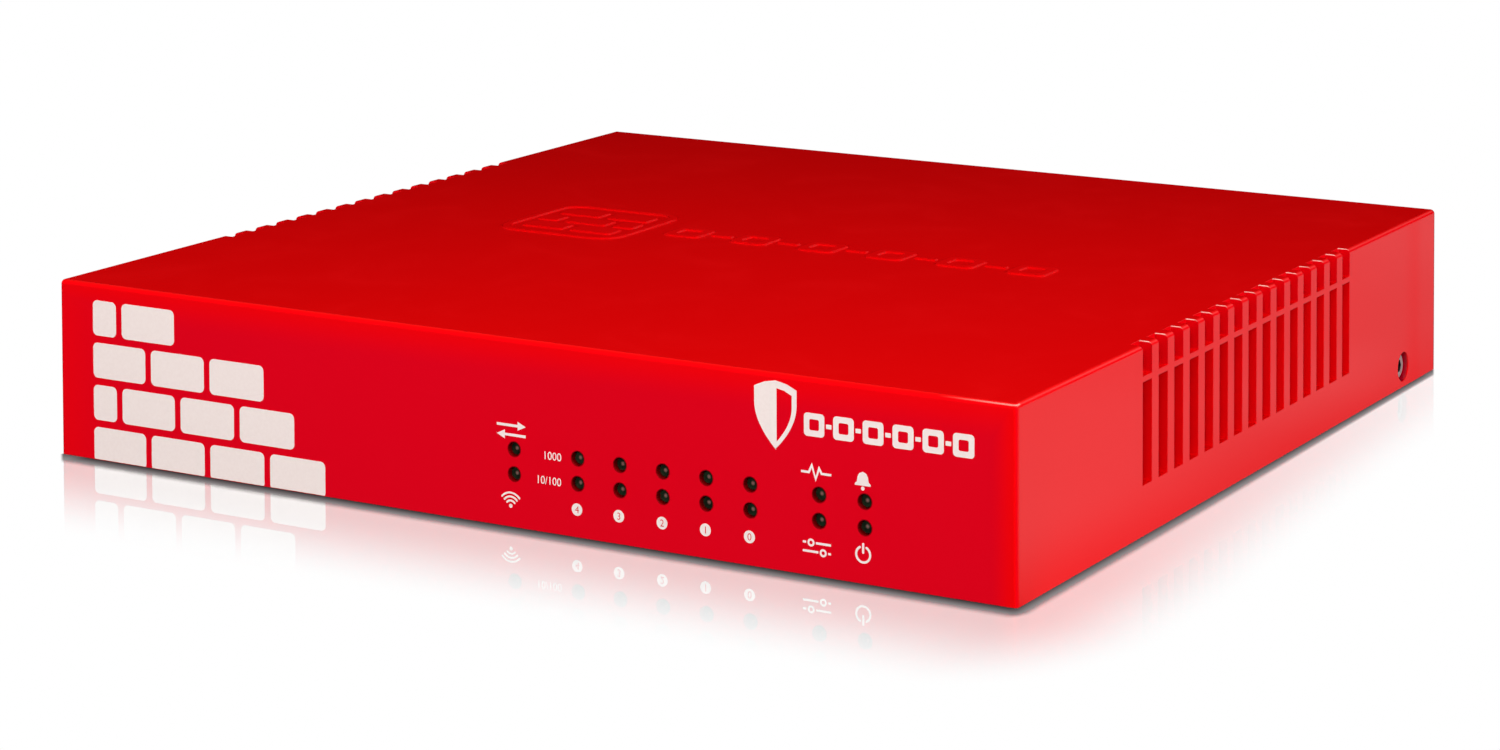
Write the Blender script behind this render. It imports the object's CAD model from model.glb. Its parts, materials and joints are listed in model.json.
import json
import math
import bpy
import bmesh
from mathutils import Matrix, Vector
from mathutils.geometry import interpolate_bezier


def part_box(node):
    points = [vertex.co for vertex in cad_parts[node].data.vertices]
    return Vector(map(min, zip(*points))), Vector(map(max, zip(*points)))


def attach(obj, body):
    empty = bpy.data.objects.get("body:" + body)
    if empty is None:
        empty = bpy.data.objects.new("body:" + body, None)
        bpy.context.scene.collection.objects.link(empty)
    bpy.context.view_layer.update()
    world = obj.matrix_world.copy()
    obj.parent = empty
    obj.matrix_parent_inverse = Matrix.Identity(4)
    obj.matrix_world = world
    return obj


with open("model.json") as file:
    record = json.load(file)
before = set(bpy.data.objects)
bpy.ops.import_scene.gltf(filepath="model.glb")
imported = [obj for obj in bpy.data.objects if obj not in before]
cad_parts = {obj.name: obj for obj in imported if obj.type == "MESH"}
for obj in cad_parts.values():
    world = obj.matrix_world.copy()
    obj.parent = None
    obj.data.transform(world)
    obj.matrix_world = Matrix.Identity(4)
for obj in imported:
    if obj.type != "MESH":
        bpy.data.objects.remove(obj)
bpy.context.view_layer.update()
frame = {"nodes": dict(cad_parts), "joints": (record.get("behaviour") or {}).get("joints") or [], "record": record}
CAD = frame["nodes"]
scene = bpy.context.scene
MM = 0.001


# ------------------------------------------------------------------ shader kit
class Mat:
    """A small helper for writing a node material."""

    def __init__(self, name):
        self.m = bpy.data.materials.new(name)
        self.m.use_nodes = True
        self.t = self.m.node_tree
        self.t.nodes.clear()
        self.out = self.t.nodes.new("ShaderNodeOutputMaterial")
        self.tc = self.t.nodes.new("ShaderNodeTexCoord")
        self._mask = {}

    def node(self, kind, **props):
        n = self.t.nodes.new(kind)
        for k, v in props.items():
            setattr(n, k, v)
        return n

    def put(self, socket, value):
        if value is None:
            return
        if hasattr(value, "is_output"):
            self.t.links.new(value, socket)
        elif isinstance(value, (tuple, list)) and len(value) == 3 and socket.type == "RGBA":
            socket.default_value = (*value, 1.0)
        else:
            socket.default_value = value

    def math(self, op, a, b=None, c=None, clamp=False):
        n = self.node("ShaderNodeMath", operation=op, use_clamp=clamp)
        for s, v in zip(n.inputs, (a, b, c)):
            self.put(s, v)
        return n.outputs[0]

    def mix(self, fac, a, b, mode="MIX"):
        n = self.node("ShaderNodeMix", data_type="RGBA", blend_type=mode)
        self.put(n.inputs[0], fac)
        self.put(n.inputs[6], a)
        self.put(n.inputs[7], b)
        return n.outputs[2]

    def fmix(self, fac, a, b):
        n = self.node("ShaderNodeMix", data_type="FLOAT")
        self.put(n.inputs[0], fac)
        self.put(n.inputs[2], a)
        self.put(n.inputs[3], b)
        return n.outputs[0]

    def ramp(self, fac, lo, hi, a=0.0, b=1.0, smooth=True):
        n = self.node("ShaderNodeMapRange", interpolation_type="SMOOTHSTEP" if smooth else "LINEAR")
        self.put(n.inputs[0], fac)
        for s, v in zip(list(n.inputs)[1:5], (lo, hi, a, b)):
            self.put(s, v)
        return n.outputs[0]

    def coords(self, scale=(1, 1, 1), rot=(0, 0, 0), kind="Object"):
        n = self.node("ShaderNodeMapping")
        n.inputs["Scale"].default_value = scale
        n.inputs["Rotation"].default_value = rot
        self.t.links.new(self.tc.outputs[kind], n.inputs["Vector"])
        return n.outputs[0]

    def noise(self, scale, detail=3.0, rough=0.5, vector=None, distort=0.0):
        n = self.node("ShaderNodeTexNoise")
        self.put(n.inputs["Vector"], vector if vector is not None else self.tc.outputs["Object"])
        n.inputs["Scale"].default_value = scale
        n.inputs["Detail"].default_value = detail
        n.inputs["Roughness"].default_value = rough
        n.inputs["Distortion"].default_value = distort
        return n.outputs["Fac"]

    def voronoi(self, scale, feature="F1", out="Distance", vector=None, metric="EUCLIDEAN"):
        n = self.node("ShaderNodeTexVoronoi", feature=feature, distance=metric)
        self.put(n.inputs["Vector"], vector if vector is not None else self.tc.outputs["Object"])
        n.inputs["Scale"].default_value = scale
        return n.outputs[out]

    def bevel(self, radius, samples=6):
        n = self.node("ShaderNodeBevel", samples=samples)
        n.inputs["Radius"].default_value = radius
        return n.outputs[0]

    def edge(self, radius, lo=0.02, hi=0.3, samples=6):
        """0 on flat faces, 1 along edges, over about the given radius in metres."""
        key = (radius, lo, hi)
        if key not in self._mask:
            geo = self.node("ShaderNodeNewGeometry")
            d = self.node("ShaderNodeVectorMath", operation="DOT_PRODUCT")
            self.t.links.new(self.bevel(radius, samples), d.inputs[0])
            self.t.links.new(geo.outputs["Normal"], d.inputs[1])
            self._mask[key] = self.ramp(self.math("SUBTRACT", 1.0, d.outputs["Value"]), lo, hi)
        return self._mask[key]

    def crease(self, distance, power=1.0, samples=4):
        """0 in the open, 1 deep inside recesses of about the given size in metres."""
        n = self.node("ShaderNodeAmbientOcclusion", samples=samples)
        n.inputs["Distance"].default_value = distance
        return self.math("POWER", self.math("SUBTRACT", 1.0, n.outputs["AO"], clamp=True), power)

    def nearest(self, value, places):
        """Distance from value to the nearest of several places along one axis."""
        best = None
        for q in places:
            d = self.math("ABSOLUTE", self.math("SUBTRACT", value, q))
            best = d if best is None else self.math("MINIMUM", best, d)
        return best

    def hypot(self, a, b):
        return self.math("SQRT", self.math("ADD", self.math("POWER", a, 2.0), self.math("POWER", b, 2.0)))

    def bump(self, height, strength, distance, normal=None):
        n = self.node("ShaderNodeBump")
        n.inputs["Strength"].default_value = strength
        n.inputs["Distance"].default_value = distance
        self.put(n.inputs["Height"], height)
        self.put(n.inputs["Normal"], normal)
        return n.outputs[0]

    def surface(self, **inputs):
        b = self.node("ShaderNodeBsdfPrincipled")
        for k, v in inputs.items():
            self.put(b.inputs[k.replace("_", " ")], v)
        self.t.links.new(b.outputs[0], self.out.inputs["Surface"])
        return b


# the status lights: eight columns, two rows
LIGHT_X = [q * MM for q in (2.9, 17.1, 26.4, 35.7, 45.0, 54.3, 68.6, 77.9)]
LIGHT_Z = [q * MM for q in (11.45, 16.15)]
SCREW_Y, SCREW_Z = 83.6 * MM, 5.8 * MM


def scaled(c, k):
    return tuple(min(1.0, x * k) for x in c)


def moulded(name, color, rough=0.35, vary=0.05, grain=1800.0, depth=6e-6, edge_light=0.25, edge_r=2.5e-4,
            round_r=1.5e-4, spec=0.5, dust=0.0):
    """Moulded plastic: slow colour drift, fine texture, paler worn edges, smudged gloss."""
    m = Mat(name)
    drift = m.noise(22.0, 3.0, 0.55)
    fine = m.noise(grain, 2.0, 0.5)
    col = m.mix(m.ramp(drift, 0.3, 0.7), scaled(color, 1 - vary), scaled(color, 1 + vary))
    worn = m.math("MULTIPLY", m.edge(edge_r), m.math("MULTIPLY", edge_light, m.ramp(m.noise(260.0, 4.0, 0.6), 0.35, 0.65, 0.35, 1.0)))
    col = m.mix(worn, col, tuple(min(1.0, x * 1.6 + 0.08) for x in color))
    if dust:
        col = m.mix(m.math("MULTIPLY", dust, m.ramp(m.noise(420.0, 5.0, 0.7), 0.55, 0.8)), col, (0.4, 0.39, 0.37))
    smudge = m.noise(75.0, 4.0, 0.62, distort=0.6)
    r = m.math("ADD", rough - 0.05, m.math("MULTIPLY", m.ramp(smudge, 0.35, 0.75), 0.12))
    nrm = m.bump(fine, 0.35, depth, m.bevel(round_r, 4))
    m.surface(Base_Color=col, Roughness=r, Normal=nrm, Specular_IOR_Level=spec)
    return m.m


def metal(name, color, rough=0.3, brush=(1, 1, 1), brush_scale=900.0, vary=0.08, edge_light=0.3, edge_r=2e-4, round_r=1e-4,
          stain=0.0, dirt=0.0, dirt_r=1.2e-3, metallic=1.0, socket=None):
    """Bare or plated metal with a rolled or brushed direction and brighter rubbed edges."""
    m = Mat(name)
    streak = m.noise(brush_scale, 3.0, 0.6, m.coords(brush))
    cloud = m.noise(60.0, 4.0, 0.6)
    col = m.mix(m.ramp(cloud, 0.3, 0.7), scaled(color, 1 - vary), scaled(color, 1 + vary * 0.6))
    if stain:
        col = m.mix(m.math("MULTIPLY", stain, m.ramp(m.noise(340.0, 5.0, 0.7), 0.55, 0.75)), col, scaled(color, 0.45))
    col = m.mix(m.math("MULTIPLY", edge_light, m.edge(edge_r)), col, (0.9, 0.9, 0.9))
    if dirt:
        col = m.mix(m.math("MULTIPLY", dirt, m.ramp(m.crease(dirt_r), 0.25, 0.75), clamp=True), col, (0.012, 0.010, 0.010))
    if socket:
        (sy, sz), radius, face = socket
        pos = m.node("ShaderNodeSeparateXYZ")
        m.t.links.new(m.tc.outputs["Object"], pos.inputs[0])
        inside = m.ramp(m.hypot(m.math("SUBTRACT", pos.outputs["Y"], sy), m.math("SUBTRACT", pos.outputs["Z"], sz)), radius, radius * 1.08, 1.0, 0.0)
        inside = m.math("MULTIPLY", inside, m.ramp(m.math("ABSOLUTE", pos.outputs["X"]), face - 1.5e-4, face - 4e-5, 1.0, 0.0))
        col = m.mix(inside, col, (0.006, 0.005, 0.005))
        metallic = m.fmix(inside, metallic, 0.0)
    r = m.math("ADD", rough - 0.06, m.math("MULTIPLY", streak, 0.16))
    m.surface(Base_Color=col, Metallic=metallic, Roughness=r, Normal=m.bump(streak, 0.25, 4e-6, m.bevel(round_r, 4)))
    return m.m


def powder(name, color, rough=0.42):
    """Powder-coated steel: fine orange peel, thin rubbed edges."""
    m = Mat(name)
    peel = m.noise(2600.0, 2.0, 0.45)
    soft = m.noise(900.0, 2.0, 0.5)
    drift = m.noise(18.0, 3.0, 0.5)
    col = m.mix(m.ramp(drift, 0.3, 0.7), scaled(color, 0.9), scaled(color, 1.12))
    col = m.mix(m.math("MULTIPLY", 0.10, m.ramp(m.noise(480.0, 6.0, 0.75), 0.6, 0.85)), col, (0.3, 0.3, 0.3))
    rub = m.math("MULTIPLY", m.edge(1.6e-4, 0.05, 0.35), m.ramp(m.noise(300.0, 4.0, 0.65), 0.48, 0.72, 0.0, 0.55))
    col = m.mix(rub, col, (0.42, 0.42, 0.42))
    height = m.math("ADD", m.math("MULTIPLY", peel, 0.6), m.math("MULTIPLY", soft, 0.8))
    r = m.math("ADD", rough, m.math("MULTIPLY", m.ramp(m.noise(55.0, 3.0, 0.6), 0.3, 0.7), 0.12))
    m.surface(Base_Color=col, Roughness=r, Normal=m.bump(height, 0.5, 2.2e-5, m.bevel(1.5e-4, 4)), Specular_IOR_Level=0.5)
    return m.m


# ------------------------------------------------------------------ the red case
def case_red():
    m = Mat("case_red_gloss")
    red_top = (0.800, 0.0006, 0.0012)
    red_front = (0.800, 0.0006, 0.0115)
    geo = m.node("ShaderNodeNewGeometry")
    sep = m.node("ShaderNodeSeparateXYZ")
    m.t.links.new(geo.outputs["Normal"], sep.inputs[0])
    upright = m.ramp(m.math("ABSOLUTE", sep.outputs["Z"]), 0.2, 0.8, 1.0, 0.0)
    col = m.mix(upright, red_top, red_front)
    pos = m.node("ShaderNodeSeparateXYZ")
    m.t.links.new(m.tc.outputs["Object"], pos.inputs[0])
    px, py, pz = pos.outputs["X"], pos.outputs["Y"], pos.outputs["Z"]
    absx, absy = m.math("ABSOLUTE", px), m.math("ABSOLUTE", py)
    # the sides are a warmer red, livelier towards the front
    flank = m.ramp(m.math("ABSOLUTE", sep.outputs["X"]), 0.6, 0.9)
    col = m.mix(flank, col, m.mix(m.ramp(py, -0.1025, -0.01, 1.0, 0.0, smooth=False), (0.800, 0.0006, 0.0040), (0.880, 0.0006, 0.0032)))
    # slow pigment drift
    drift = m.noise(14.0, 3.0, 0.5)
    col = m.mix(m.ramp(drift, 0.3, 0.7, 0.0, 0.10), col, (0.70, 0.0002, 0.004))
    # the front glows warmer towards its upper, left and right edges
    facing = m.ramp(m.math("MULTIPLY", sep.outputs["Y"], -1.0), 0.6, 0.9)
    to_top = m.ramp(pz, 0.0295, 0.0368, 0.0, 0.85)
    to_right = m.ramp(px, 0.1025, 0.1076, 0.0, 1.0)
    to_left = m.ramp(px, -0.108, -0.088, 0.55, 0.0)
    band = m.math("MULTIPLY", facing, m.math("MAXIMUM", to_top, m.math("MAXIMUM", to_right, to_left)))
    col = m.mix(band, col, (0.97, 0.0004, 0.0022))
    # the raised emblem is only a little lighter than the face around it, and its slopes don't stand out
    proud = m.ramp(pz, 0.03701, 0.03704)
    slope = m.ramp(sep.outputs["Z"], 0.93, 0.985, 1.0, 0.0)
    col = m.mix(m.math("MULTIPLY", 0.32, m.ramp(pz, 0.03706, 0.03716)), col, (0.92, 0.002, 0.003))
    col = m.mix(m.math("MULTIPLY", m.math("MULTIPLY", proud, slope), 0.85), col, (0.50, 0.0003, 0.0006))
    # dark rims and walls of the light holes
    hole = m.hypot(m.nearest(px, LIGHT_X), m.nearest(pz, LIGHT_Z))
    hole = m.math("MULTIPLY", m.ramp(hole, 0.00136, 0.00164, 0.85, 0.0), m.ramp(py, -0.0985, -0.0975, 1.0, 0.0))
    col = m.mix(hole, col, (0.105, 0.0002, 0.0010))
    # walls of the vents turned to the front
    wall = m.math("MULTIPLY", m.ramp(m.math("ABSOLUTE", sep.outputs["Y"]), 0.4, 0.8), m.ramp(absy, 0.0545, 0.056, 1.0, 0.0))
    wall = m.math("MULTIPLY", wall, m.ramp(absx, 0.1045, 0.1052))
    col = m.mix(m.math("MULTIPLY", wall, m.ramp(pz, 0.029, 0.032, 0.12, 0.8)), col, (0.58, 0.0003, 0.0035))
    # shaded walls of the screw wells
    well = m.hypot(m.math("SUBTRACT", py, SCREW_Y), m.math("SUBTRACT", pz, SCREW_Z))
    well = m.math("MULTIPLY", m.ramp(well, 0.00330, 0.00345, 1.0, 0.0), m.ramp(absx, 0.1080, 0.1074))
    well = m.math("MULTIPLY", well, m.ramp(absx, 0.1045, 0.1050))
    col = m.mix(m.math("MULTIPLY", well, 0.85), col, (0.34, 0.0, 0.014))
    # the upright edge at the back of each side lies in shade
    last = m.math("MULTIPLY", m.ramp(absy, 0.1018, 0.1023), m.ramp(absx, 0.1072, 0.1077))
    last = m.math("MULTIPLY", last, m.ramp(py, 0.0, 0.001))
    col = m.mix(m.math("MULTIPLY", last, 0.6), col, (0.30, 0.0, 0.006))
    # hairline wear on the sharp edges only
    wear = m.math("MULTIPLY", m.edge(1.6e-4, 0.04, 0.3), m.ramp(m.noise(420.0, 5.0, 0.65), 0.50, 0.74, 0.0, 0.22))
    col = m.mix(wear, col, (1.0, 0.16, 0.14))
    # the rounded upper edge at the back of every notch is rubbed almost white
    bev = m.node("ShaderNodeSeparateXYZ")
    m.t.links.new(m.bevel(4.5e-4, 8), bev.inputs[0])
    side = m.ramp(px, 0.1050, 0.1056)
    side = m.math("MULTIPLY", side, m.ramp(px, 0.1070, 0.1079, 1.0, 0.0))
    span = m.ramp(absy, 0.0535, 0.0545, 1.0, 0.0)
    high = m.ramp(pz, 0.0362, 0.0366)
    lip = m.math("MULTIPLY", m.ramp(m.math("MULTIPLY", bev.outputs["Y"], -1.0), 0.18, 0.42), m.ramp(bev.outputs["Z"], 0.25, 0.5))
    lip = m.math("MULTIPLY", m.math("MULTIPLY", lip, side), m.math("MULTIPLY", high, span))
    col = m.mix(m.math("MULTIPLY", lip, m.ramp(m.noise(700.0, 3.0, 0.6), 0.25, 0.6, 0.65, 1.0)), col, (1.0, 0.62, 0.55))
    # and so is the last stretch of the front edge by the right corner
    tip = m.math("MULTIPLY", m.ramp(px, 0.092, 0.1068), m.math("MULTIPLY", m.ramp(bev.outputs["Z"], 0.58, 0.70), m.ramp(bev.outputs["Z"], 0.80, 0.90, 1.0, 0.0)))
    tip = m.math("MULTIPLY", tip, m.ramp(py, -0.1005, -0.1012))
    col = m.mix(m.math("MULTIPLY", tip, 0.55), col, (1.0, 0.45, 0.38))
    # gloss: smudges, hair scratches and a trace of mould texture
    smudge = m.ramp(m.noise(48.0, 5.0, 0.62, distort=0.8), 0.42, 0.78)
    scratch = m.ramp(m.noise(55.0, 6.0, 0.7, m.coords((1.0, 42.0, 42.0), (0.0, 0.0, 0.6))), 0.66, 0.80)
    rough = m.math("ADD", 0.17, m.math("ADD", m.math("MULTIPLY", smudge, 0.07), m.math("MULTIPLY", scratch, 0.06)))
    peel = m.math("ADD", m.math("MULTIPLY", m.noise(900.0, 2.0, 0.5), 0.5), m.math("MULTIPLY", m.noise(210.0, 2.0, 0.5), 1.0))
    nrm = m.bump(peel, 0.10, 9e-6, m.bevel(2.2e-4, 6))
    # the sides shine less near their lower edge and in a soft upright band near the back
    low = m.ramp(pz, 0.0014, 0.016, 0.45, 1.0)
    dull = m.math("MULTIPLY", m.ramp(py, 0.0815, 0.0905), m.ramp(py, 0.0905, 0.0965, 1.0, 0.0))
    sheen = m.math("MULTIPLY", low, m.math("SUBTRACT", 1.0, m.math("MULTIPLY", dull, 0.45)))
    sheen = m.fmix(flank, 0.5, m.math("MULTIPLY", sheen, 0.5))
    sheen = m.math("MULTIPLY", sheen, m.math("SUBTRACT", 1.0, m.math("MULTIPLY", m.math("MULTIPLY", proud, slope), 0.92)))
    m.surface(Base_Color=col, Roughness=rough, Normal=nrm, Specular_IOR_Level=sheen)
    return m.m


def ink_white():
    m = Mat("print_warm_white")
    speck = m.ramp(m.noise(1500.0, 3.0, 0.6), 0.3, 0.7)
    col = m.mix(speck, (0.965, 0.825, 0.785), (0.990, 0.855, 0.815))
    col = m.mix(m.ramp(m.noise(150.0, 3.0, 0.55), 0.58, 0.85, 0.0, 0.06), col, (0.88, 0.66, 0.62))
    rough = m.math("ADD", 0.30, m.math("MULTIPLY", m.noise(120.0, 3.0, 0.6), 0.12))
    m.surface(Base_Color=col, Roughness=rough, Normal=m.bump(m.noise(2400.0, 2.0, 0.5), 0.2, 4e-6), Specular_IOR_Level=0.4)
    return m.m


def ink_grey():
    m = Mat("print_light_grey")
    speck = m.ramp(m.noise(1500.0, 3.0, 0.6), 0.3, 0.7)
    col = m.mix(speck, (0.66, 0.66, 0.65), (0.76, 0.76, 0.75))
    col = m.mix(m.ramp(m.noise(260.0, 4.0, 0.6), 0.60, 0.85, 0.0, 0.25), col, (0.3, 0.3, 0.3))
    m.surface(Base_Color=col, Roughness=0.5, Normal=m.bump(m.noise(2400.0, 2.0, 0.5), 0.3, 6e-6))
    return m.m


def pipe_clear():
    m = Mat("light_pipe_clear")
    cloud = m.noise(500.0, 3.0, 0.6)
    col = m.mix(m.ramp(cloud, 0.3, 0.7), (0.006, 0.010, 0.006), (0.014, 0.030, 0.014))
    col = m.mix(m.math("MULTIPLY", 0.4, m.edge(1.5e-4, 0.02, 0.3)), col, (0.10, 0.14, 0.10))
    # the light itself shows as a small pale spot in the middle of the tip
    pos = m.node("ShaderNodeSeparateXYZ")
    m.t.links.new(m.tc.outputs["Object"], pos.inputs[0])
    spot = m.hypot(m.nearest(m.math("SUBTRACT", pos.outputs["X"], 0.00012), LIGHT_X), m.nearest(m.math("SUBTRACT", pos.outputs["Z"], 0.00010), LIGHT_Z))
    spot = m.math("MULTIPLY", m.ramp(spot, 0.00008, 0.00052, 1.0, 0.0), m.ramp(pos.outputs["Y"], -0.1015, -0.1012, 1.0, 0.0))
    col = m.mix(m.math("MULTIPLY", spot, 0.8), col, (0.34, 0.17, 0.15))
    rough = m.math("ADD", 0.10, m.math("MULTIPLY", m.noise(900.0, 3.0, 0.6), 0.14))
    m.surface(Base_Color=col, Roughness=rough, Specular_IOR_Level=0.5, Coat_Weight=0.3, Coat_Roughness=0.06,
              Normal=m.bump(m.noise(1300.0, 2.0, 0.5), 0.2, 6e-6, m.bevel(2.0e-4, 4)))
    return m.m


def board_mask(name="board_solder_mask", base=(0.012, 0.105, 0.042), trace=(0.03, 0.20, 0.075)):
    m = Mat(name)
    cells = m.voronoi(150.0, "F1", "Distance", metric="CHEBYCHEV")
    lines = m.math("GREATER_THAN", m.math("FRACT", m.math("MULTIPLY", cells, 9.0)), 0.52)
    area = m.ramp(m.noise(38.0, 2.0, 0.5), 0.45, 0.55)
    col = m.mix(m.math("MULTIPLY", lines, m.math("MULTIPLY", area, 0.8)), base, trace)
    vias = m.math("LESS_THAN", m.voronoi(520.0), 0.16)
    col = m.mix(m.math("MULTIPLY", vias, m.ramp(m.noise(60.0, 2.0, 0.5), 0.5, 0.6)), col, (0.55, 0.42, 0.18))
    col = m.mix(m.math("MULTIPLY", m.edge(3e-4), 0.6), col, (0.30, 0.27, 0.12))
    m.surface(Base_Color=col, Roughness=m.math("ADD", 0.28, m.math("MULTIPLY", m.noise(90.0, 3.0, 0.5), 0.1)),
              Normal=m.bump(lines, 0.25, 1.2e-5, m.bevel(1.5e-4, 4)), Coat_Weight=0.3, Coat_Roughness=0.15)
    return m.m


def rubber(name, color=(0.025, 0.025, 0.027)):
    m = Mat(name)
    g = m.noise(2200.0, 3.0, 0.6)
    col = m.mix(m.ramp(m.noise(120.0, 4.0, 0.6), 0.3, 0.7), scaled(color, 0.8), scaled(color, 1.5))
    col = m.mix(m.math("MULTIPLY", 0.35, m.ramp(m.noise(500.0, 5.0, 0.7), 0.55, 0.8)), col, (0.13, 0.12, 0.11))
    m.surface(Base_Color=col, Roughness=m.math("ADD", 0.68, m.math("MULTIPLY", g, 0.2)),
              Normal=m.bump(g, 0.5, 2e-5, m.bevel(3e-4, 4)), Specular_IOR_Level=0.3)
    return m.m


def paper(name):
    m = Mat(name)
    g = m.noise(1800.0, 4.0, 0.6)
    col = m.mix(m.ramp(g, 0.3, 0.7), (0.72, 0.72, 0.70), (0.80, 0.80, 0.79))
    col = m.mix(m.ramp(m.noise(60.0, 4.0, 0.65), 0.6, 0.85, 0.0, 0.2), col, (0.6, 0.58, 0.52))
    m.surface(Base_Color=col, Roughness=0.42, Normal=m.bump(g, 0.25, 6e-6))
    return m.m


RED = case_red()
INK = ink_white()
INK_GREY = ink_grey()
MATS = {
    "case_red": RED,
    "tray_paint": powder("tray_powder_coat", (0.040, 0.042, 0.046)),
    "panel_paint": powder("panel_powder_coat", (0.030, 0.032, 0.036), 0.38),
    "screw_steel": metal("screw_zinc", (0.62, 0.60, 0.60), 0.30, (1, 1, 1), 1400.0, stain=0.25, dirt=1.0),
    "foot_rubber": rubber("foot_rubber_black"),
    "label": paper("label_paper"),
    "board": board_mask(),
    "plated_steel": metal("tin_plated_steel", (0.62, 0.62, 0.60), 0.32, (1, 12, 1), 500.0),
    "chip": moulded("chip_epoxy", (0.020, 0.020, 0.022), 0.55, 0.2, 2600.0, 1.5e-5, 0.12),
    "thermal_pad": rubber("thermal_pad_blue", (0.10, 0.16, 0.30)),
    "heat_sink": metal("heat_sink_aluminium", (0.70, 0.71, 0.73), 0.34, (1, 14, 1), 420.0),
    "heat_sink_black": metal("heat_sink_black_anodised", (0.045, 0.045, 0.05), 0.42, (1, 14, 1), 420.0, edge_light=0.1),
    "white_plastic": moulded("nylon_natural", (0.70, 0.68, 0.60), 0.42, 0.05),
    "spring_steel": metal("spring_steel", (0.45, 0.45, 0.46), 0.28),
    "ferrite": moulded("ferrite_grey", (0.060, 0.060, 0.064), 0.62, 0.15, 1500.0, 2e-5),
    "capacitor_can": metal("capacitor_aluminium", (0.55, 0.56, 0.58), 0.28, (1, 1, 10), 500.0),
    "ceramic_part": moulded("ceramic_tan", (0.42, 0.31, 0.19), 0.45, 0.1),
    "crystal_can": metal("crystal_can", (0.66, 0.66, 0.66), 0.22, (1, 1, 8), 500.0),
    "black_plastic": moulded("black_nylon", (0.018, 0.018, 0.020), 0.45, 0.2, 2000.0, 1.2e-5, 0.12),
    "cell_steel": metal("cell_steel", (0.68, 0.68, 0.69), 0.24, (1, 1, 1), 700.0),
    "brass": metal("brass_turned", (0.78, 0.56, 0.22), 0.28, (1, 1, 14), 500.0),
    "antenna_board": board_mask("antenna_black_mask", (0.014, 0.014, 0.016), (0.05, 0.05, 0.055)),
    "lead_jacket": moulded("coax_jacket", (0.02, 0.02, 0.022), 0.38, 0.15, 1500.0, 6e-6, 0.0),
    "jack_steel": metal("jack_shell_nickel", (0.66, 0.65, 0.62), 0.24, (1, 16, 1), 420.0, stain=0.12),
    "jack_plastic": moulded("jack_black_pbt", (0.016, 0.016, 0.018), 0.42, 0.2, 2000.0, 1e-5, 0.10),
    "contact_gold": metal("contact_gold", (0.95, 0.68, 0.25), 0.20, (1, 8, 1), 900.0, edge_light=0.1),
    "jack_light": moulded("jack_light_lens", (0.38, 0.46, 0.22), 0.22, 0.1, 1200.0, 4e-6, 0.2),
    "usb_plastic": moulded("usb_tongue_black", (0.018, 0.018, 0.020), 0.4, 0.2),
    "switch_plastic": moulded("switch_black_pa", (0.017, 0.017, 0.019), 0.40, 0.2, 1700.0, 1.2e-5, 0.14),
    "rocker_plastic": moulded("rocker_black", (0.015, 0.015, 0.017), 0.26, 0.2, 1700.0, 6e-6, 0.14),
    "wire_jacket": moulded("wire_jacket_red", (0.32, 0.012, 0.012), 0.38, 0.12, 1500.0, 6e-6, 0.0),
    "reset_plastic": moulded("reset_button_grey", (0.35, 0.35, 0.34), 0.40, 0.06),
    "led_body": moulded("led_package", (0.70, 0.70, 0.58), 0.30, 0.06),
    "light_pipe": pipe_clear(),
}

COVER_SCREW = metal("cover_screw_dull_zinc", (0.50, 0.44, 0.44), 0.34, (1, 1, 1), 1400.0, stain=0.2, dirt=1.0, dirt_r=9e-4, metallic=0.45,
                    socket=((SCREW_Y, SCREW_Z), 1.5 * MM, 107.0 * MM))

slots = {s["node"]: s["material_slot"] for s in frame["record"]["subparts"]}
for node, obj in CAD.items():
    mat = COVER_SCREW if node == "cover_screws" else MATS[slots[node]]
    obj.data.materials.clear()
    obj.data.materials.append(mat)


# ------------------------------------------------------------------ flat printed shapes
def circle(cx, cy, r, n=40):
    return [(cx + r * math.cos(2 * math.pi * i / n), cy + r * math.sin(2 * math.pi * i / n)) for i in range(n)]


def rrect(cx, cy, w, h, r, n=6):
    pts = []
    for sx, sy, a0 in ((1, 1, 0), (-1, 1, 90), (-1, -1, 180), (1, -1, 270)):
        ox, oy = cx + sx * (w / 2 - r), cy + sy * (h / 2 - r)
        for i in range(n + 1):
            a = math.radians(a0 + 90 * i / n)
            pts.append((ox + r * math.cos(a), oy + r * math.sin(a)))
    return pts


def arc_band(cx, cy, r, w, a0, a1, n=24):
    """A band of width w about radius r from a0 to a1 degrees, with rounded ends."""
    out = []
    ro, ri = r + w / 2, r - w / 2
    for i in range(n + 1):
        a = math.radians(a0 + (a1 - a0) * i / n)
        out.append((cx + ro * math.cos(a), cy + ro * math.sin(a)))
    ae = math.radians(a1)
    ex, ey = cx + r * math.cos(ae), cy + r * math.sin(ae)
    for i in range(1, 6):
        b = ae + math.pi * i / 6
        out.append((ex + w / 2 * math.cos(b), ey + w / 2 * math.sin(b)))
    for i in range(n + 1):
        a = math.radians(a1 + (a0 - a1) * i / n)
        out.append((cx + ri * math.cos(a), cy + ri * math.sin(a)))
    a_s = math.radians(a0)
    ex, ey = cx + r * math.cos(a_s), cy + r * math.sin(a_s)
    for i in range(1, 6):
        b = a_s + math.pi + math.pi * i / 6
        out.append((ex + w / 2 * math.cos(b), ey + w / 2 * math.sin(b)))
    return out


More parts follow.
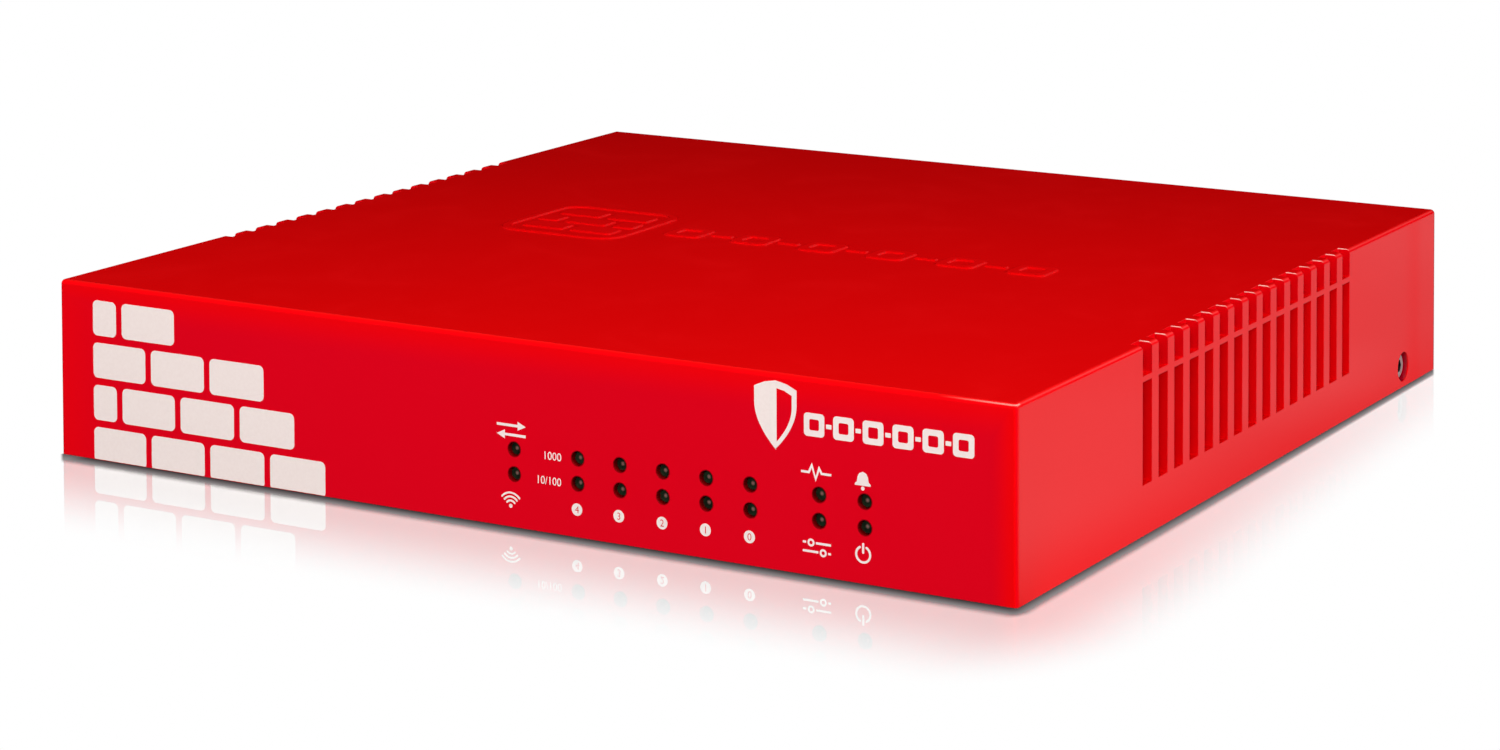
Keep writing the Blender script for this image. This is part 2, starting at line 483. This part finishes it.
def stroke(pts, w):
    """The outline of an open line of width w with mitred corners."""
    left, right = [], []
    n = len(pts)
    for i, (x, y) in enumerate(pts):
        def unit(a, b):
            dx, dy = b[0] - a[0], b[1] - a[1]
            k = math.hypot(dx, dy)
            return dx / k, dy / k
        if i == 0:
            d = unit(pts[0], pts[1]); nx, ny, k = -d[1], d[0], 1.0
        elif i == n - 1:
            d = unit(pts[-2], pts[-1]); nx, ny, k = -d[1], d[0], 1.0
        else:
            d0, d1 = unit(pts[i - 1], pts[i]), unit(pts[i], pts[i + 1])
            nx, ny = -(d0[1] + d1[1]), d0[0] + d1[0]
            q = math.hypot(nx, ny)
            nx, ny = nx / q, ny / q
            k = min(2.2, 1.0 / max(0.2, nx * -d0[1] + ny * d0[0]))
        left.append((x + nx * w / 2 * k, y + ny * w / 2 * k))
        right.append((x - nx * w / 2 * k, y - ny * w / 2 * k))
    return left + right[::-1]


def glyphs(text, size, cx, cy, width=None):
    """Outlines of digits in the program's own plain typeface, centred on (cx, cy)."""
    data = bpy.data.curves.new("digits", "FONT")
    data.body = text
    data.size = size
    data.align_x = "LEFT"
    obj = bpy.data.objects.new("digits", data)
    scene.collection.objects.link(obj)
    for o in bpy.context.selected_objects:
        o.select_set(False)
    bpy.context.view_layer.objects.active = obj
    obj.select_set(True)
    bpy.ops.object.convert(target="CURVE")
    obj = bpy.context.view_layer.objects.active
    loops = []
    for sp in obj.data.splines:
        pts, b = [], sp.bezier_points
        for i in range(len(b)):
            p, q = b[i], b[(i + 1) % len(b)]
            seg = interpolate_bezier(p.co, p.handle_right, q.handle_left, q.co, 6)
            pts += [(v.x, v.y) for v in seg[:-1]]
        loops.append(pts)
    bpy.data.objects.remove(obj)
    xs = [p[0] for l in loops for p in l]
    ys = [p[1] for l in loops for p in l]
    mx, my = (min(xs) + max(xs)) / 2, (min(ys) + max(ys)) / 2
    k = (width / (max(xs) - min(xs))) if width else 1.0
    return [[((x - mx) * k + cx, y - my + cy) for x, y in l] for l in loops]


def flat_piece(name, loops, place, thick, mat, body):
    """Loops in millimetres, filled, given a thickness and set on a plane of the object.
    place maps (u, v, outward) to the row frame."""
    cu = bpy.data.curves.new(name + "_outline", "CURVE")
    cu.dimensions = "2D"
    cu.fill_mode = "BOTH"
    cu.extrude = thick / 2
    for loop in loops:
        sp = cu.splines.new("POLY")
        sp.points.add(len(loop) - 1)
        for p, (x, y) in zip(sp.points, loop):
            p.co = (x * MM, y * MM, 0, 1)
        sp.use_cyclic_u = True
    tmp = bpy.data.objects.new(name + "_tmp", cu)
    scene.collection.objects.link(tmp)
    dg = bpy.context.evaluated_depsgraph_get()
    me = bpy.data.meshes.new_from_object(tmp.evaluated_get(dg))
    bpy.data.objects.remove(tmp)
    bm = bmesh.new()
    bm.from_mesh(me)
    bmesh.ops.remove_doubles(bm, verts=bm.verts, dist=2e-7)
    bmesh.ops.translate(bm, verts=bm.verts, vec=(0, 0, thick / 2))
    bmesh.ops.transform(bm, matrix=place, verts=bm.verts)
    bmesh.ops.recalc_face_normals(bm, faces=bm.faces)
    bm.to_mesh(me)
    bm.free()
    me.name = name
    obj = bpy.data.objects.new(name, me)
    scene.collection.objects.link(obj)
    me.materials.clear()
    me.materials.append(mat)
    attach(obj, body)
    return obj


def basis(origin, u, v, w):
    m = Matrix((u, v, w)).transposed().to_4x4()
    m.translation = Vector(origin)
    return m


case_lo, case_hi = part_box("top_cover")
FRONT = basis((0, case_lo.y, 0), (1, 0, 0), (0, 0, 1), (0, -1, 0))
panel_lo, panel_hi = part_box("rear_panel")
REAR = basis((0, panel_hi.y, 0), (-1, 0, 0), (0, 0, 1), (0, 1, 0))
INK_T = 0.03 * MM

# ---- the large white graphic at the left: a stepped wall of rounded bricks that runs off the lower edge
Z0 = case_lo.z / MM
BH, BW, GAP = 7.1, 13.4, 1.45


def cropped(x, z, w, h, r, floor_z):
    """A rounded brick cut off square where it runs past floor_z."""
    pts = []
    for px, pz in rrect(x + w / 2, z + h / 2, w, h, r):
        pts.append((px, max(pz, floor_z)))
    clean = []
    for q in pts:
        if not clean or math.hypot(q[0] - clean[-1][0], q[1] - clean[-1][1]) > 1e-4:
            clean.append(q)
    return clean


bricks = []
HALF_W = (BW - GAP) / 2
for row, widths in enumerate([
    [BW, BW, BW, BW],
    [HALF_W, BW, BW, BW],
    [BW, BW, BW],
    [HALF_W, BW],
]):
    zb = Z0 + 32.3 - BH - (3 - row) * (BH + GAP)
    x = -99.3
    for w in widths:
        bricks.append(cropped(x, zb, w, BH, 1.1, Z0 + 0.12))
        x += w + GAP
flat_piece("front_brick_print", bricks, FRONT, INK_T, INK, "chassis")

# ---- the mark at the upper right: a shield outline and a chain of linked squares
def shield(cx, top, w, h, n=12, part="all"):
    """A plain heraldic outline with a pointed foot; part picks a half."""
    z_mid = top - h * 0.34
    right_side = [(cx, top), (cx + w * 0.26, top - h * 0.035), (cx + w / 2, top - h * 0.11), (cx + w / 2, z_mid)]
    for i in range(1, n + 1):
        t = i / n
        right_side.append((cx + w / 2 * (1 - t ** 1.9), z_mid - (z_mid - (top - h)) * t))
    if part == "right":
        return right_side
    left_side = [(2 * cx - x, z) for x, z in reversed(right_side[1:-1])]
    return right_side + left_side


mark = [shield(59.6, 35.7, 8.8, 12.4)]
inner = shield(59.6, 34.35, 6.3, 9.7, part="right")
mark.append([(x + 0.25, z) for x, z in inner])
for i in range(6):
    cx = 67.6 + i * 6.0
    mark.append(rrect(cx, 28.6, 4.2, 4.2, 0.7))
    mark.append(rrect(cx, 28.6, 2.0, 2.0, 0.35))
    if i < 5:
        mark.append(rrect(cx + 3.0, 28.6, 1.1, 0.8, 0.1))
flat_piece("front_chain_print", mark, FRONT, INK_T, INK, "chassis")

# ---- small signs next to the status lights
icons = []
# opposing arrows
icons.append([(-1.0, 20.3), (3.6, 20.3), (3.6, 19.85 + 1.35), (5.5, 20.55), (5.5, 20.65), (3.6, 21.35), (3.6, 20.75), (-1.0, 20.75)])
icons[-1] = [(-1.0, 20.35), (3.7, 20.35), (3.7, 19.75), (5.5, 20.6), (3.7, 21.45), (3.7, 20.85), (-1.0, 20.85)]
icons.append([(5.5, 18.55), (0.8, 18.55), (0.8, 17.95), (-1.0, 18.8), (0.8, 19.65), (0.8, 19.05), (5.5, 19.05)])
# radio waves
icons.append(circle(2.05, 5.35, 0.38, 20))
for r in (1.15, 1.9, 2.65):
    icons.append(arc_band(2.05, 5.2, r, 0.36, 42, 138, 16))
# pulse line
icons.append(stroke([(64.9, 20.0), (66.5, 20.0), (67.1, 21.3), (67.9, 18.9), (68.6, 20.9), (69.1, 20.0), (71.1, 20.0)], 0.42))
# bell
icons.append([(75.9, 18.95), (75.9, 19.25), (76.3, 19.6), (76.45, 20.5), (76.8, 21.15), (77.5, 21.45), (78.2, 21.15), (78.55, 20.5),
              (78.7, 19.6), (79.1, 19.25), (79.1, 18.95)])
icons.append(circle(77.5, 18.45, 0.36, 16))
# two sliders
for zc, kx in ((7.35, 66.9), (5.75, 69.4)):
    icons.append(rrect((65.2 + kx - 1.0) / 2, zc, kx - 1.0 - 65.2, 0.42, 0.1))
    icons.append(rrect((71.0 + kx + 1.0) / 2, zc, 71.0 - kx - 1.0, 0.42, 0.1))
    icons.append(circle(kx, zc, 0.72, 24))
    icons.append(circle(kx, zc, 0.34, 20))
# power sign
icons.append(arc_band(77.55, 6.65, 1.42, 0.42, 118, 422, 40))
icons.append(rrect(77.55, 7.75, 0.44, 1.9, 0.18))
flat_piece("front_sign_print", icons, FRONT, INK_T, INK, "chassis")

# ---- port numbers knocked out of white discs, and the two link speeds
numbers = []
for x, digit in zip((16.9, 26.1, 35.5, 44.8, 54.1), "43210"):
    numbers.append(circle(x, 6.6, 1.16, 40))
    numbers += glyphs(digit, 1.9, x, 6.6)
numbers += glyphs("1000", 2.15, 11.6, 15.9, 3.7)
numbers += glyphs("10/100", 2.15, 10.8, 11.2, 5.2)
flat_piece("front_number_print", numbers, FRONT, INK_T, INK, "chassis")

# ---- rear panel print: port numbers and plain signs under the connectors
rear = []
for i, x in enumerate((-6.0, -24.0, -42.0, -60.0, -78.0)):
    rear += glyphs(str(i), 3.6, -x, 5.9)
cx = -18.0   # console: a small screen with a cursor
rear += [rrect(cx, 5.9, 6.4, 4.2, 0.6), rrect(cx, 5.9, 5.4, 3.2, 0.3)]
rear.append(stroke([(cx - 1.9, 6.9), (cx - 0.9, 6.0), (cx - 1.9, 5.1)], 0.42))
rear.append(rrect(cx + 0.7, 5.05, 1.8, 0.42, 0.1))
cx = -42.0   # plug sign
rear += [rrect(cx - 0.9, 5.9, 3.6, 2.8, 0.4), rrect(cx + 2.0, 5.9, 1.6, 2.0, 0.15)]
rear[-1:] = [rrect(cx + 2.0, 5.9, 1.6, 2.0, 0.15), rrect(cx + 2.0, 6.35, 0.7, 0.4, 0.05), rrect(cx + 2.0, 5.45, 0.7, 0.4, 0.05)]
cx = -57.0   # circular arrow
rear.append(arc_band(cx, 5.9, 1.5, 0.42, 70, 350, 28))
rear.append([(cx - 0.25, 7.4 + 0.95), (cx + 1.25, 7.4), (cx - 0.25, 7.4 - 0.95)])
cx = -90.0   # centre-positive plug sign
rear.append(circle(cx, 5.4, 0.6, 20))
rear.append(arc_band(cx, 5.4, 1.35, 0.36, 40, 320, 28))
rear.append(rrect(cx + 2.2, 5.4, 2.2, 0.34, 0.08))
rear.append(rrect(cx - 2.55, 5.4, 1.6, 0.34, 0.08))
rear += [circle(cx + 4.35, 5.4, 0.95, 24), circle(cx + 4.35, 5.4, 0.66, 24)]
rear.append([(cx + 4.35 + a, 5.4 + b) for a, b in ((-.45, -.1), (-.1, -.1), (-.1, -.45), (.1, -.45), (.1, -.1), (.45, -.1), (.45, .1), (.1, .1), (.1, .45), (-.1, .45), (-.1, .1), (-.45, .1))])
rear += [circle(cx - 4.4, 5.4, 0.95, 24), circle(cx - 4.4, 5.4, 0.66, 24), rrect(cx - 4.4, 5.4, 0.9, 0.2, 0.05)]
flat_piece("rear_sign_print", rear, REAR, 0.02 * MM, INK_GREY, "chassis")

# ---- on and off signs on the rocker, on its two faces
joint = next(j for j in frame["joints"] if j["name"] == "power_rocker_tilt")
pivot = Vector(joint["pos_m"])
HALF = math.radians(8.0)
rise = math.tan(HALF)
for name, sign, s in (("rocker_on_sign", 1, 4.4), ("rocker_off_sign", -1, 4.4)):
    out0 = Vector((0, math.cos(-HALF), math.sin(-HALF)))       # outward at rest
    up0 = Vector((0, -math.sin(-HALF), math.cos(-HALF)))
    n = (out0 - sign * rise * up0).normalized()
    along = (up0 + sign * rise * out0).normalized()
    centre = pivot + out0 * (2.0 + s * rise) * MM + up0 * sign * s * MM
    loops = [rrect(0, 0, 0.6, 3.0, 0.1)] if sign > 0 else [circle(0, 0, 1.5, 36), circle(0, 0, 0.98, 36)]
    flat_piece(name, loops, basis(centre, (-1, 0, 0), along, n), 0.02 * MM, INK_GREY, "rocker")

# ---- fields on the blank label under the case
lab_lo, lab_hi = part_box("rating_label")
UNDER = basis((0, 0, lab_lo.z), (-1, 0, 0), (0, 1, 0), (0, 0, -1))
fields = [rrect(0, 0, 78, 34, 1.2), rrect(0, 0, 77.2, 33.2, 0.9)]
for i, w in enumerate((30, 44, 38, 26)):
    fields.append(rrect(-34 + w / 2, 11 - i * 5.2, w, 1.3, 0.3))
fields += [rrect(27, -8, 14, 10, 0.6), rrect(27, -8, 13, 9, 0.4)]
flat_piece("label_fields_print", fields, UNDER, 0.01 * MM, INK_GREY, "chassis")

# ------------------------------------------------------------------ stage
RIM_Z = 0.0013        # the sheet that carries the reflection lies just under the rim of the case


def footprint(m, pos):
    """Distances outside the footprint of the case along x and y, in metres."""
    ax = m.math("SUBTRACT", m.math("ABSOLUTE", pos.outputs["X"]), case_hi.x)
    ay = m.math("SUBTRACT", m.math("ABSOLUTE", pos.outputs["Y"]), case_hi.y)
    return ax, ay


def floor_material():
    m = Mat("studio_floor")
    geo = m.node("ShaderNodeNewGeometry")
    pos = m.node("ShaderNodeSeparateXYZ")
    m.t.links.new(geo.outputs["Position"], pos.inputs[0])
    ax, ay = footprint(m, pos)
    shade = m.ramp(m.math("MAXIMUM", ax, ay), -0.006, 0.0005, 0.10, 1.0)
    tone = m.mix(shade, (0.10, 0.085, 0.088), (1.0, 1.0, 1.0))
    tone = m.mix(m.ramp(m.noise(9.0, 2.0, 0.5), 0.3, 0.7, 0.0, 0.006), tone, (0.96, 0.96, 0.97))
    lp = m.node("ShaderNodeLightPath")
    # what glossy surfaces see in the floor: dark in front, pale on the other three sides
    right = m.math("MULTIPLY", m.ramp(pos.outputs["X"], case_hi.x - 0.030, case_hi.x + 0.022),
                   m.ramp(pos.outputs["Y"], case_lo.y - 0.002, case_lo.y + 0.010))
    patch = m.ramp(m.noise(9.0, 2.0, 0.45), 0.30, 0.70, 0.70, 1.0)
    behind = m.math("MULTIPLY", m.ramp(pos.outputs["Y"], case_hi.y - 0.03, case_hi.y + 0.03), 1.3)
    behind = m.math("MULTIPLY", behind, m.ramp(pos.outputs["X"], case_hi.x - 0.01, case_hi.x + 0.02, 1.0, 0.0))
    left = m.math("MULTIPLY", m.ramp(pos.outputs["X"], case_lo.x - 0.05, case_lo.x, 1.0, 0.0), m.ramp(pos.outputs["Y"], -0.10, -0.04))
    seen = m.math("MULTIPLY", m.math("MAXIMUM", m.math("MULTIPLY", right, patch), m.math("MAXIMUM", behind, left)), 0.41)
    em_cam = m.node("ShaderNodeEmission")
    m.put(em_cam.inputs[0], tone)
    em_gl = m.node("ShaderNodeEmission")
    m.put(em_gl.inputs[1], seen)
    em_df = m.node("ShaderNodeEmission")
    m.put(em_df.inputs[1], m.ramp(pos.outputs["Y"], case_lo.y - 0.004, case_lo.y + 0.012, 0.06, 0.58))
    a = m.node("ShaderNodeMixShader")
    m.put(a.inputs[0], lp.outputs["Is Glossy Ray"])
    m.t.links.new(em_df.outputs[0], a.inputs[1])
    m.t.links.new(em_gl.outputs[0], a.inputs[2])
    b = m.node("ShaderNodeMixShader")
    m.put(b.inputs[0], lp.outputs["Is Camera Ray"])
    m.t.links.new(a.outputs[0], b.inputs[1])
    m.t.links.new(em_cam.outputs[0], b.inputs[2])
    # clear from below, so that the underside can be looked at
    under = m.node("ShaderNodeBsdfTransparent")
    c = m.node("ShaderNodeMixShader")
    m.put(c.inputs[0], geo.outputs["Backfacing"])
    m.t.links.new(b.outputs[0], c.inputs[1])
    m.t.links.new(under.outputs[0], c.inputs[2])
    m.t.links.new(c.outputs[0], m.out.inputs["Surface"])
    return m.m


def mirror_material():
    """A clear sheet with a fading reflection and the thin contact shade at the rim of the case."""
    m = Mat("floor_mirror")
    geo = m.node("ShaderNodeNewGeometry")
    pos = m.node("ShaderNodeSeparateXYZ")
    m.t.links.new(geo.outputs["Position"], pos.inputs[0])
    ax, ay = footprint(m, pos)
    ox, oy = m.math("MAXIMUM", ax, 0.0), m.math("MAXIMUM", ay, 0.0)
    k = m.ramp(pos.outputs["Y"], -0.07, 0.095, 1.53, 2.3, smooth=False)
    away = m.math("SQRT", m.math("ADD", m.math("POWER", m.math("MULTIPLY", ox, k), 2.0), m.math("POWER", oy, 2.0)))
    wide_x = m.math("MULTIPLY", m.ramp(pos.outputs["X"], -0.001, 0.001, 0.0003, 0.0031), m.ramp(pos.outputs["Y"], -0.05, 0.1025, 1.0, 0.66))
    wide_y = m.ramp(pos.outputs["Y"], -0.001, 0.001, 0.0052, 0.0003)
    near = m.math("SQRT", m.math("ADD", m.math("POWER", m.math("DIVIDE", ox, wide_x), 2.0), m.math("POWER", m.math("DIVIDE", oy, wide_y), 2.0)))
    dark = m.math("ADD", m.ramp(near, 0.0, 0.75, 0.11, 0.33, smooth=False), m.ramp(near, 0.62, 1.12, 0.0, 0.67))
    tone = m.mix(dark, (0.03, 0.0, 0.004), (1.0, 1.0, 1.0))
    # the shade ends square under the two outer upright edges, in line with the camera
    cut_l = m.ramp(m.math("SUBTRACT", m.math("ADD", pos.outputs["X"], case_hi.x), m.math("MULTIPLY", oy, 0.89)), -0.0005, 0.0005)
    cut_r = m.ramp(m.math("SUBTRACT", m.math("SUBTRACT", case_hi.y, pos.outputs["Y"]), m.math("MULTIPLY", ox, 2.72)), -0.0008, 0.0008)
    tone = m.mix(m.math("MULTIPLY", cut_l, cut_r), (1.0, 1.0, 1.0), tone)
    fade = m.ramp(pos.outputs["Y"], -0.08, 0.1025, 1.05, 0.33, smooth=False)
    strength = m.math("MULTIPLY", m.ramp(away, 0.006, 0.046, 0.39, 0.0), m.ramp(near, 0.45, 1.05))
    strength = m.math("MULTIPLY", strength, fade)
    clear = m.node("ShaderNodeBsdfTransparent")
    m.put(clear.inputs[0], tone)
    gloss = m.node("ShaderNodeBsdfGlossy")
    gloss.inputs[0].default_value = (1, 1, 1, 1)
    gloss.inputs["Roughness"].default_value = 0.02
    mixed = m.node("ShaderNodeMixShader")
    m.put(mixed.inputs[0], strength)
    m.t.links.new(clear.outputs[0], mixed.inputs[1])
    m.t.links.new(gloss.outputs[0], mixed.inputs[2])
    plain = m.node("ShaderNodeBsdfTransparent")
    lp = m.node("ShaderNodeLightPath")
    b = m.node("ShaderNodeMixShader")
    m.put(b.inputs[0], m.math("MULTIPLY", lp.outputs["Is Camera Ray"], m.math("SUBTRACT", 1.0, geo.outputs["Backfacing"])))
    m.t.links.new(plain.outputs[0], b.inputs[1])
    m.t.links.new(mixed.outputs[0], b.inputs[2])
    m.t.links.new(b.outputs[0], m.out.inputs["Surface"])
    return m.m


def film_material():
    m = Mat("floor_film")
    tr = m.node("ShaderNodeBsdfTransparent")
    m.t.links.new(tr.outputs[0], m.out.inputs["Surface"])
    return m.m


def sheet(name, xs, ys, z, mat, hole=None):
    bm = bmesh.new()
    vs = [[bm.verts.new((x, y, z)) for y in ys] for x in xs]
    for i in range(len(xs) - 1):
        for j in range(len(ys) - 1):
            if hole == (i, j):
                continue
            bm.faces.new((vs[i][j], vs[i + 1][j], vs[i + 1][j + 1], vs[i][j + 1]))
    me = bpy.data.meshes.new(name)
    bm.to_mesh(me)
    bm.free()
    me.materials.append(mat)
    o = bpy.data.objects.new(name, me)
    scene.collection.objects.link(o)
    return o


R = 4.0
IN = 0.0012
wide = [-R, -R / 2, 0.0, R / 2, R]
ring_x = [-R, -case_hi.x + IN, case_hi.x - IN, R]
ring_y = [-R, -case_hi.y + IN, case_hi.y - IN, R]
floor = sheet("floor", wide, wide, 0.0, floor_material())
mirror = sheet("floor_mirror", ring_x, ring_y, RIM_Z, mirror_material(), hole=(1, 1))
film = sheet("floor_film", ring_x, ring_y, RIM_Z + 0.00003, film_material(), hole=(1, 1))
for o in (mirror, film):
    o.visible_shadow = False
    o.visible_diffuse = False

world = bpy.data.worlds.new("studio")
scene.world = world
world.use_nodes = True
wt = world.node_tree
wt.nodes.clear()
wo = wt.nodes.new("ShaderNodeOutputWorld")


def wmath(op, a, b=None):
    n = wt.nodes.new("ShaderNodeMath")
    n.operation = op
    for s, v in zip(n.inputs, (a, b)):
        if v is None:
            continue
        if hasattr(v, "is_output"):
            wt.links.new(v, s)
        else:
            s.default_value = v
    return n.outputs[0]


def wrange(fac, lo, hi, a, b):
    n = wt.nodes.new("ShaderNodeMapRange")
    n.interpolation_type = "SMOOTHSTEP"
    wt.links.new(fac, n.inputs[0])
    for s, v in zip(list(n.inputs)[1:5], (lo, hi, a, b)):
        s.default_value = v
    return n.outputs[0]


lp = wt.nodes.new("ShaderNodeLightPath")
wtc = wt.nodes.new("ShaderNodeTexCoord")
wsep = wt.nodes.new("ShaderNodeSeparateXYZ")
wt.links.new(wtc.outputs["Generated"], wsep.inputs[0])
AMBIENT = 0.08
# a ray that came off the mirror sheet sees white; the object itself is surrounded by
# dark walls with a soft white ceiling, so that its flat faces keep a deep colour
through = wmath("MULTIPLY", wmath("GREATER_THAN", lp.outputs["Transparent Depth"], 0.5),
                wmath("LESS_THAN", lp.outputs["Glossy Depth"], 1.5))
sky = wmath("MULTIPLY", wrange(wsep.outputs["Z"], 0.22, 0.55, 0.0, 0.9), wrange(wsep.outputs["X"], -0.10, 0.30, 0.06, 1.0))
sky = wmath("MULTIPLY", sky, wrange(wsep.outputs["Y"], -0.20, 0.30, 0.15, 1.0))
glossy = wmath("MAXIMUM", sky, through)
is_glossy = lp.outputs["Is Glossy Ray"]
value = wmath("ADD", wmath("MULTIPLY", is_glossy, glossy), wmath("MULTIPLY", wmath("SUBTRACT", 1.0, is_glossy), AMBIENT))
value = wmath("MAXIMUM", value, lp.outputs["Is Camera Ray"])
bg = wt.nodes.new("ShaderNodeBackground")
bg.inputs[0].default_value = (1, 1, 1, 1)
wt.links.new(value, bg.inputs[1])
wt.links.new(bg.outputs[0], wo.inputs[0])


def softbox(name, at, to, w, h, watts):
    l = bpy.data.lights.new(name, "AREA")
    l.shape = "RECTANGLE"
    l.size, l.size_y = w, h
    l.energy = watts
    o = bpy.data.objects.new(name, l)
    scene.collection.objects.link(o)
    o.location = at
    o.rotation_mode = "QUATERNION"
    o.rotation_quaternion = (Vector(to) - Vector(at)).to_track_quat("-Z", "Y")
    # light for the matt response only: the gloss comes from the dark walls and white ceiling
    o.visible_glossy = False
    o.visible_camera = False
    l.cycles.use_multiple_importance_sampling = False
    return o


softbox("key_box", (0.62, -1.00, 0.40), (0.02, -0.03, 0.02), 0.50, 0.40, 5.5)
softbox("top_box", (0.08, -0.23, 0.50), (0.01, -0.03, 0.03), 0.40, 0.30, 2.28)
softbox("right_box", (0.85, -0.05, 0.26), (0.05, 0.0, 0.02), 0.50, 0.30, 4.0)
softbox("front_box", (-0.22, -0.72, 0.20), (-0.03, -0.05, 0.02), 0.45, 0.26, 1.58)
# two low strips for the back and the left side, below the plane of the top
softbox("rear_strip", (0.0, 0.95, 0.018), (0.0, 0.05, 0.018), 0.70, 0.03, 5.0)
softbox("left_strip", (-0.95, 0.0, 0.018), (-0.05, 0.0, 0.018), 0.70, 0.03, 3.5)

# ------------------------------------------------------------------ camera
cam_data = bpy.data.cameras.new("camera")
cam_data.sensor_width = 36.0
cam_data.sensor_fit = "HORIZONTAL"
cam_data.lens = 87.5237
cam_data.clip_start, cam_data.clip_end = 0.01, 20.0
cam = bpy.data.objects.new("camera", cam_data)
scene.collection.objects.link(cam)
right = Vector((0.86771278, 0.49705865, -0.00269103))
up = Vector((-0.02109808, 0.04223869, 0.99888476))
back = Vector((0.49661797, -0.86668829, 0.04713803))
rot = Matrix((right, up, back)).transposed()
cam.rotation_mode = "QUATERNION"
cam.rotation_quaternion = rot.to_quaternion()
cam.location = (0.38798285, -0.65905302, 0.18871986)


def near_shift(path, value):
    """A lens shift that keeps uprights parallel, held only while the camera stands this close to the object."""
    setattr(cam_data, path, value)
    fc = cam_data.driver_add(path)
    fc.driver.type = "SUM"
    var = fc.driver.variables.new()
    var.type = "LOC_DIFF"
    var.targets[0].id = cam
    var.targets[1].id = floor
    for mod in list(fc.modifiers):
        fc.modifiers.remove(mod)
    reach = cam.location.length
    for x, y in ((0.0, value), (reach + 0.05, value), (reach + 0.15, 0.0), (reach + 1.0, 0.0)):
        k = fc.keyframe_points.insert(x, y)
        k.interpolation = "LINEAR"
    fc.extrapolation = "CONSTANT"
    fc.update()


near_shift("shift_x", -0.04622974)
near_shift("shift_y", -0.45242438)
scene.camera = cam
scene.view_settings.view_transform = "Standard"
scene.view_settings.look = "None"
scene.view_settings.exposure = 0.0
scene.view_settings.gamma = 1.0
